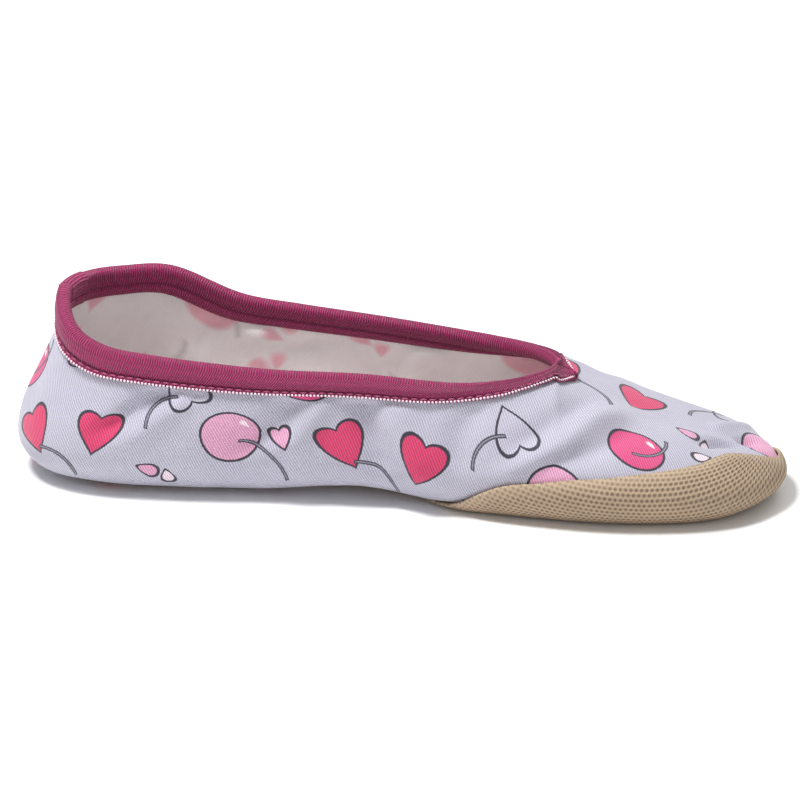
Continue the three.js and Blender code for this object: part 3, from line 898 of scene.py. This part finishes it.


# The upper: one piece of knit drawn over the last, with its folds placed one by one. A fold runs
# through places along the foot, under 0 on the near side, and levels up the wall, and has a
# width and a depth in mm: over 0 it is a ridge, under 0 a trough. The rows are shared out over the
# margin, the turn up from it and the wall; the folds fade near the tape, the sole and their ends.
upper = {
    "columns": 420,
    "rows": 66,
    "marginRows": 0.1,
    "turnRows": 0.3,
    "heelStart": 0.72,
    "wander": 0.4,
    "fadeAtTape": 0.12,
    "fadeAtSole": 0.22,
    "fadeAtEnds": 0.3,
    "folds": [
        # the long ridge from the vamp down to the waist, between two troughs
        ([(-0.86, 2.98), (-0.82, 2.8), (-0.78, 2.62), (-0.735, 2.35), (-0.685, 2.17), (-0.61, 1.6)], 2.8, 2),
        ([(-0.85, 2.8), (-0.785, 2.4), (-0.73, 2.17), (-0.685, 1.9)], 3.4, -1.7),
        ([(-0.8, 2.9), (-0.75, 2.65), (-0.69, 2.4), (-0.64, 2.15)], 3.2, -1.5),
        # drawn down and back from the tape at the heel
        ([(-0.2, 2.97), (-0.165, 2.78), (-0.155, 2.57), (-0.135, 2.27), (-0.095, 2.05)], 2.6, -2),
        ([(-0.21, 2.85), (-0.195, 2.55), (-0.175, 2.2), (-0.14, 2)], 2.6, 1.1),
        ([(-0.235, 2.97), (-0.205, 2.82), (-0.2, 2.7), (-0.195, 2.55)], 1.8, -1.5),
        ([(-0.29, 2.97), (-0.325, 2.75), (-0.34, 2.37), (-0.325, 2.12), (-0.285, 1.88)], 3, -1.9),
        ([(-0.36, 2.9), (-0.38, 2.5), (-0.375, 2.1), (-0.34, 1.9)], 2.8, 1.2),
        # the waist, where the foot bends
        ([(-0.38, 2.97), (-0.445, 2.48), (-0.485, 2.05), (-0.505, 1.5)], 3.2, -2.2),
        ([(-0.43, 2.85), (-0.5, 2.4), (-0.54, 2.03), (-0.55, 1.4)], 4, 1.8),
        ([(-0.58, 2.9), (-0.58, 2.4), (-0.59, 1.8)], 3.4, -1.4),
        ([(-0.385, 2.98), (-0.41, 2.74), (-0.43, 2.6)], 1.3, -1.1),
        ([(-0.42, 2.98), (-0.44, 2.7)], 1.2, -0.9),
        ([(-0.5, 2.98), (-0.51, 2.76)], 1.3, -0.9),
        ([(-0.62, 2.97), (-0.61, 2.75)], 1.4, -0.8),
        # the toe, pushed back a little over the rubber
        ([(-0.9, 2.7), (-0.945, 2.88), (0.97, 2.95), (0.985, 2.5)], 2.2, -2.6),
        ([(-0.93, 2.98), (0.945, 2.78), (0.96, 2.45), (0.98, 2.25)], 2, 1.3),
        ([(-0.88, 2.97), (-0.8, 2.94)], 2.6, 0.5),
        # the far side
        ([(0.79, 2.84), (0.7, 2.5), (0.62, 2.2)], 3.6, 1.1),
        ([(0.77, 2.62), (0.68, 2.3), (0.61, 1.95)], 3, -0.8),
        ([(0.26, 2.97), (0.25, 2.7), (0.29, 2.4), (0.34, 2.2)], 4, -1.5),
        ([(0.2, 2.9), (0.18, 2.6), (0.205, 2.3)], 3.2, 1),
        ([(0.36, 2.9), (0.31, 2.5), (0.24, 2.2)], 3.2, 0.8),
        ([(0.5, 2.95), (0.49, 2.5), (0.51, 1.7)], 4.6, -1.4),
        ([(0.45, 2.8), (0.45, 2.3), (0.475, 1.6)], 3.8, 1),
        ([(0.57, 2.75), (0.54, 2.3), (0.53, 1.5)], 3.8, 1),
        # the seam at the back of the heel
        ([(0, 2.97), (0, 2.1), (0, 1.3)], 0.8, -0.6),
    ],
}


@lru_cache(maxsize=None)
def foldLine(index):
    route = upper["folds"][index][0]
    points = [lastPoint(placeOf(abs(along), sideOf(along)), level, 0) for along, level in route]
    lengths = [(b - a).length for a, b in zip(points, points[1:])]
    return points, lengths, sum(lengths)


def foldDepth(place, level, point):
    depth = 0
    for index, (_, width, height) in enumerate(upper["folds"]):
        points, lengths, total = foldLine(index)
        if (point - points[0]).length > total + 3 * width:
            continue
        nearest, share, gone = 1e9, 0, 0
        for start, end, length in zip(points, points[1:], lengths):
            way = end - start
            t = clamp((point - start).dot(way) / (length * length))
            distance = (point - start - way * t).length
            if distance < nearest:
                nearest, share = distance, (gone + length * t) / total
            gone += length
        if nearest < 3 * width:
            ends = upper["fadeAtEnds"]
            fade = smooth(share / ends) * smooth((1 - share) / ends)
            depth += height * fade * math.exp(-(nearest / width) ** 2)
    slack = noise.noise(point * 0.06) + 0.5 * noise.noise(point * 0.14)
    depth += upper["wander"] * slack
    underTape = smooth((tapeLevel(place) - level) / upper["fadeAtTape"])
    aboveSole = smooth((level - max(soleEdge(place), 1.05)) / upper["fadeAtSole"])
    return depth * underTape * aboveSole


def outwards(place, level):
    return (lastPoint(place, level, 1) - lastPoint(place, level, 0)).normalized()


def lengthBeyond(place, start):
    # How much longer the outline is, from a start to a place, than it gets on along the shoe
    steps = 40
    extra, before = 0, outline(math.copysign(start, place))
    for i in range(1, steps + 1):
        here = outline(math.copysign(mix(start, abs(place), i / steps), place))
        extra += (here - before).length - abs(here.x - before.x)
        before = here
    return extra


@lru_cache(maxsize=None)
def clothAlong(place):
    # Places round the heel go on along the cloth, beyond where the shoe itself ends
    return -lengthBeyond(place, upper["heelStart"]) if abs(place) > upper["heelStart"] else 0


def columnOf(place, levels, offset):
    # The points of one column of the sheet, and how far each lies from the top along the cloth
    points = [lastPoint(place, level, offset) for level in levels]
    ways = [0]
    for below, above in zip(points[-2::-1], points[:0:-1]):
        ways.append(ways[-1] + (above - below).length)
    return points, ways[::-1]


def upperLevels(place):
    rows, low = upper["rows"], marginLevel(alongOf(place))
    turn, wall = upper["marginRows"], upper["turnRows"]
    levels = []
    for row in range(rows + 1):
        t = row / rows
        if t < turn:
            levels.append(mix(low, 1, t / turn))
        elif t < wall:
            levels.append(1 + (t - turn) / (wall - turn))
        else:
            levels.append(2 + (t - wall) / (1 - wall))
    return levels


@lru_cache(maxsize=None)
def upperColumn(place):
    levels = upperLevels(place)
    return levels, *columnOf(place, levels, 0)


def upperPlace(x, t):
    levels, points, ways = upperColumn(x)
    row = round(t * upper["rows"])
    level, point = levels[row], points[row]
    gap = 0 if onVamp(x) else abs(collarAt(x).y)
    flat = (point.x + clothAlong(x), sideOf(x) * (ways[row] + gap))
    if x == 0:
        flat = (point.x, -ways[row])
    return point + outwards(x, level) * foldDepth(x, level, point), flat


def makeUpper():
    sheet = gridSheet("knit_upper", upper["columns"], upper["rows"], upperPlace)
    editMesh(sheet, weld)
    dress(sheet, printedKnit(), knitReverse())
    applyModifier(sheet, "SOLIDIFY", thickness=shoe["wall"] * mm, offset=-1, material_offset=1)
    finishPiece(sheet, "upper")


makeUpper()

# The rubber sole: thinner towards its edge, which is rounded over
sole = {
    "columns": 320,
    "rows": 58,
    "skin": 0.9,
    "lip": 0.7,
    "lipDrop": 0.35,
    "thinning": 4.5,
    "toeStart": 0.3,
}


@lru_cache(maxsize=None)
def soleColumn(place):
    levels = [soleEdge(place) * row / sole["rows"] for row in range(sole["rows"] + 1)]
    return levels, *columnOf(place, levels, shoe["clearance"])


def soleOffset(fromEdge):
    thickness = mix(shoe["soleEdge"], shoe["sole"], smooth(fromEdge / sole["thinning"]))
    rounded = clamp(1 - fromEdge / sole["lip"]) ** 2 * sole["lipDrop"]
    return shoe["clearance"] + thickness - rounded


@lru_cache(maxsize=None)
def treadAlong(place):
    # Round the toe the rows of the tread go on along the edge, beyond the length of the shoe
    return lengthBeyond(place, sole["toeStart"]) if abs(place) < sole["toeStart"] else 0


def solePlace(x, t):
    levels, _, ways = soleColumn(x)
    row = round(t * sole["rows"])
    point = lastPoint(x, levels[row], soleOffset(ways[row]))
    fromTip = point.x - shoe["length"] / 2 + treadAlong(x) - treadAlong(0)
    return point, (fromTip, ways[0] - ways[row])


def makeSole():
    sheet = gridSheet("rubber_sole", sole["columns"], sole["rows"], solePlace)
    edge = sheet.data.attributes.new("fromEdge", "FLOAT", "POINT")
    columns = [i / (sole["columns"] / 2) - 1 for i in range(sole["columns"] + 1)]
    values = []
    for row in range(sole["rows"] + 1):
        for place in columns:
            values.append(soleColumn(round(place, 6))[2][row])
    for item, value in zip(edge.data, values):
        item.value = value
    editMesh(sheet, weld)
    applyModifier(sheet, "SOLIDIFY", thickness=sole["skin"] * mm, offset=-1)
    dress(sheet, dimpledRubber())
    finishPiece(sheet, "outsole")


makeSole()

# The insole: a thin board of cloth, laid on the turned-in margins
insole = {"columns": 160, "rows": 14, "reach": 0.94}


def insolePlace(x, t):
    underside = -(shoe["wall"] + shoe["clearance"])
    point = lastPoint(x, insole["reach"] * t, underside)
    return point, (point.x, point.y)


def makeInsole():
    sheet = gridSheet("cloth_insole", insole["columns"], insole["rows"], insolePlace)
    editMesh(sheet, weld)
    applyModifier(sheet, "SOLIDIFY", thickness=shoe["insole"] * mm, offset=-1)
    dress(sheet, insoleCloth())
    finishPiece(sheet, "insole")


makeInsole()

# The elastic tape, folded over the raw edge of the collar. legShape and innerShape give how far
# it stands off the knit, from its lower edge (0) to the top (1): the stitching draws it in.
tape = {
    "columns": 640,
    "legRows": 16,
    "foldRows": 10,
    "skin": 0.45,
    "top": 1.35,
    "overFold": 4,
    "gather": 24,
    "gatherDepth": 0.24,
    "legShape": [(0, 0.75), (0.1, 1.05), (0.24, 0.6), (0.4, 1.3), (0.62, 1.7), (0.85, 1.6), (1, 1.35)],
    "innerShape": [(0, 0.6), (0.1, 0.95), (0.3, 1.1), (0.44, 0.7), (0.58, 1.15), (0.85, 1.3), (1, 1.35)],
}
tapeRows = 2 * tape["legRows"] + tape["foldRows"]
tapeWidth = 2 * shoe["tapeLeg"] + tape["overFold"]


@lru_cache(maxsize=None)
def throatTop():
    return lastPoint(throatTurn, 3, 0)


def tapePoint(place, row, lift=0.0):
    # row counts from the lower edge outside, over the fold, to the lower edge inside. Round the
    # throat the tape is gathered, in small ridges along it.
    leg, fold = tape["legRows"], tape["foldRows"]
    gathered = smooth(1 - (lastPoint(place, 3, 0) - throatTop()).length / tape["gather"])
    lift += tape["gatherDepth"] * gathered * math.sin(row * math.pi / 2)
    if row <= leg:
        share = row / leg
        return lastPoint(place, mix(tapeLevel(place), 3, share), shapeAt(tape["legShape"], share) + lift)
    if row < leg + fold:
        turn = math.pi * (row - leg) / fold
        radius = shoe["wall"] / 2 + tape["top"] + lift
        normal = topNormal(place)
        beyond = normal.cross(alongCollar(place)).normalized()
        edge = collarAt(place) - normal * shoe["wall"] / 2
        return edge + normal * radius * math.cos(turn) + beyond * (tape["top"] + lift) * math.sin(turn)
    share = (tapeRows - row) / leg
    offset = shoe["wall"] + shapeAt(tape["innerShape"], share) + lift
    return lastPoint(place, mix(tapeLevel(place), 3, share), -offset)


def ringPlace(x):
    # The ring runs from the heel along the near side to the throat, and back on the far side
    return mix(-1, -throatTurn, x + 1) if x < 0 else mix(throatTurn, 1, x)


@lru_cache(maxsize=None)
def tapeLengths():
    # How far each column of the ring lies along the tape, from the heel
    half = tape["columns"] // 2
    collar = [collarAt(ringPlace(i / half)) for i in range(-half, half + 1)]
    lengths = [0]
    for before, here in zip(collar, collar[1:]):
        lengths.append(lengths[-1] + (here - before).length)
    return lengths


def tapeRingPlace(x, t):
    row = round(t * tapeRows)
    column = round((x + 1) * tape["columns"] / 2)
    return tapePoint(ringPlace(x), row), (tapeLengths()[column], row / tapeRows * tapeWidth)


def tipPlace(side, inside):
    ahead = placeAheadOfThroat(shoe["tapeTip"])
    leg = tape["legRows"]

    def place(x, t):
        there = side * mix(ahead, throatTurn, (x + 1) / 2)
        row = round(t * leg)
        point = tapePoint(there, tapeRows - row if inside else row)
        return point, (point.y * 1.2, row / leg * shoe["tapeLeg"])

    return place


def makeTape():
    pieces = [gridSheet("collar_tape", tape["columns"], tapeRows, tapeRingPlace)]
    for side in (-1, 1):
        for inside in (False, True):
            tip = gridSheet("tip", 20, tape["legRows"], tipPlace(side, inside))
            if (side > 0) == inside:
                editMesh(tip, flip)
            pieces.append(tip)
    band = join(pieces)
    editMesh(band, weld)
    applyModifier(band, "SOLIDIFY", thickness=tape["skin"] * mm, offset=-1)
    dress(band, ribbedElastic("woven fold-over elastic"))
    finishPiece(band, "collar_binding")


makeTape()

# The tape's ends overlap behind the heel: a flat end, sewn over the band on the far side
tapeEnd = {"columns": 24, "from": 0.93, "slant": 0.02, "lift": 0.42, "ridge": 0.1, "fray": 0.004}


def tapeEndPlace(x, t):
    row, share = round(t * tapeRows), (x + 1) / 2
    ragged = tapeEnd["from"] + tapeEnd["fray"] * noise.noise(Vector((row * 0.9, 0, 0)))
    place = mix(ragged, 1 - tapeEnd["slant"] * (1 - t), share)
    ridge = tapeEnd["ridge"] * math.sin(row * math.pi / 2)
    lift = tapeEnd["lift"] * (1 - 0.6 * smooth(share)) + ridge
    return tapePoint(place, row, lift), (collarAt(place).x, row / tapeRows * tapeWidth)


def makeTapeEnd():
    sheet = gridSheet("tape_end", tapeEnd["columns"], tapeRows, tapeEndPlace)
    dress(sheet, ribbedElastic("elastic along its ribs", True))
    applyModifier(sheet, "SOLIDIFY", thickness=tape["skin"] * mm, offset=-1)
    finishPiece(sheet)


makeTapeEnd()

# Along the tape's lower edge: the picot loops, white and pale pink, and the stitches above them
picot = {"pitch": 0.92, "size": (0.36, 0.34, 0.36), "leg": 6.1, "offset": 0.98}
stitch = {"pitch": 2.3, "size": (0.85, 0.24, 0.2), "leg": 5.1, "offset": 1.04}


def walkAlongTape(leg, offset, pitch):
    # Spots at even steps along a line on the outer leg of the tape, from the heel round to the heel
    ahead = placeAheadOfThroat(shoe["tapeTip"] + leg - shoe["tapeLeg"])
    count = 900
    places = [mix(-1, -ahead, i / count) for i in range(count + 1)]
    places += [mix(ahead, 1, i / count) for i in range(1, count + 1)]
    line = [(lastPoint(place, tapeLevel(place, leg), offset), place) for place in places]
    spots, left = [], pitch / 2
    for (here, place), (there, _) in zip(line, line[1:]):
        way = (there - here).length
        while left <= way and way > 0:
            out = outwards(place, tapeLevel(place, leg))
            spots.append((here.lerp(there, left / way), (there - here).normalized(), out))
            left += pitch
        left -= way
    return spots


def repeatAlong(name, size, detail, spots):
    # One bead of thread, copied to each spot and turned along the edge
    deselectAll()
    bpy.ops.mesh.primitive_ico_sphere_add(subdivisions=detail, radius=1)
    bead = bpy.context.object
    points = [vertex.co.copy() for vertex in bead.data.vertices]
    faces = [tuple(face.vertices) for face in bead.data.polygons]
    bpy.data.objects.remove(bead)
    allPoints, allFaces = [], []
    for spot, along, out in spots:
        across = out.cross(along).normalized()
        first = len(allPoints)
        for point in points:
            moved = along * point.x * size[0] + across * point.y * size[1] + out * point.z * size[2]
            allPoints.append((spot + moved) * mm)
        allFaces += [tuple(first + corner for corner in face) for face in faces]
    mesh = bpy.data.meshes.new(name)
    mesh.from_pydata(allPoints, [], allFaces)
    piece = bpy.data.objects.new(name, mesh)
    bpy.context.collection.objects.link(piece)
    return piece


def makeEdging():
    spots = walkAlongTape(picot["leg"], picot["offset"], picot["pitch"])
    loops = repeatAlong("picot_edge", picot["size"], 1, spots)
    dress(loops, plainYarn("bleached picot yarn", "#fdf6fa", "#e6c6d6"))
    finishPiece(loops)
    spots = walkAlongTape(stitch["leg"], stitch["offset"], stitch["pitch"])
    seam = repeatAlong("tape_stitches", stitch["size"], 2, spots)
    dress(seam, plainYarn("raspberry sewing thread", "#c0527f", "#7c2450"))
    finishPiece(seam)


makeEdging()

# Studio: a pale floor, a key light from above on the left and two weak ones. A light has a place
# and a size in mm and a power in W.
studio = {
    "floor": "#f8f8f8",
    "world": "#ffffff",
    "worldStrength": 0.36,
    "lights": [
        ("key", (-300, -130, 860), 240, 9),
        ("front", (250, -900, 420), 700, 1.4),
        ("back", (350, 700, 700), 600, 3),
    ],
}


def addStudio():
    deselectAll()
    bpy.ops.mesh.primitive_plane_add(size=12)
    floor = bpy.context.object
    floor.name = "studio_floor"
    material, shader = newMaterial("painted floor")
    shader.inputs["Base Color"].default_value = colour(studio["floor"])
    shader.inputs["Roughness"].default_value = 0.9
    floor.data.materials.append(material)
    for name, place, size, power in studio["lights"]:
        bpy.ops.object.light_add(type="AREA", location=Vector(place) * mm)
        lamp = bpy.context.object
        lamp.name = name
        lamp.data.size = size * mm
        lamp.data.energy = power
        lamp.rotation_euler = (-Vector(place)).to_track_quat("-Z", "Y").to_euler()
    world = bpy.context.scene.world or bpy.data.worlds.new("studio")
    bpy.context.scene.world = world
    world.use_nodes = True
    background = world.node_tree.nodes["Background"]
    background.inputs[0].default_value = colour(studio["world"])
    background.inputs[1].default_value = studio["worldStrength"]
    bpy.context.scene.view_settings.view_transform = "Standard"


addStudio()
print("studio lit")
